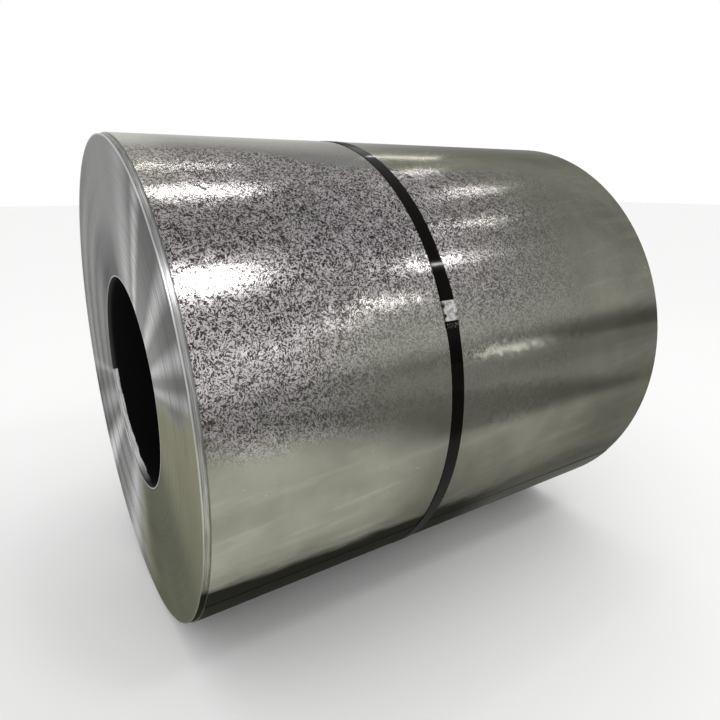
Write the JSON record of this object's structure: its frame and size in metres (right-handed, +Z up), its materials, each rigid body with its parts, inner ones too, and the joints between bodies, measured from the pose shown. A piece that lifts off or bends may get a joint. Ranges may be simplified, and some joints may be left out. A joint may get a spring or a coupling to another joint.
{
  "type": "steel coil",
  "caption": "Coil of galvanized steel strip lying on its side, with an open bore and one steel strap closed by a crimped seal.",
  "frame": {"origin": "on the floor under the coil's middle: the middle of the coil's length and width, at the lowest point of the strap", "axes": "+X along the coil's axis, away from the end that faces the viewer in the picture; +Z up"},
  "size_m": [1.264, 1.1218, 1.1218],
  "materials": {
    "galvanized_steel": "hot-dip galvanized, spangled, glossy",
    "black_strap": "black paint, matte",
    "zinc_seal": "zinc-plated, bright"
  },
  "bodies": {
    "root": {"coil": "galvanized_steel", "strap": "black_strap", "seal": "zinc_seal"}
  },
  "joints": []
}
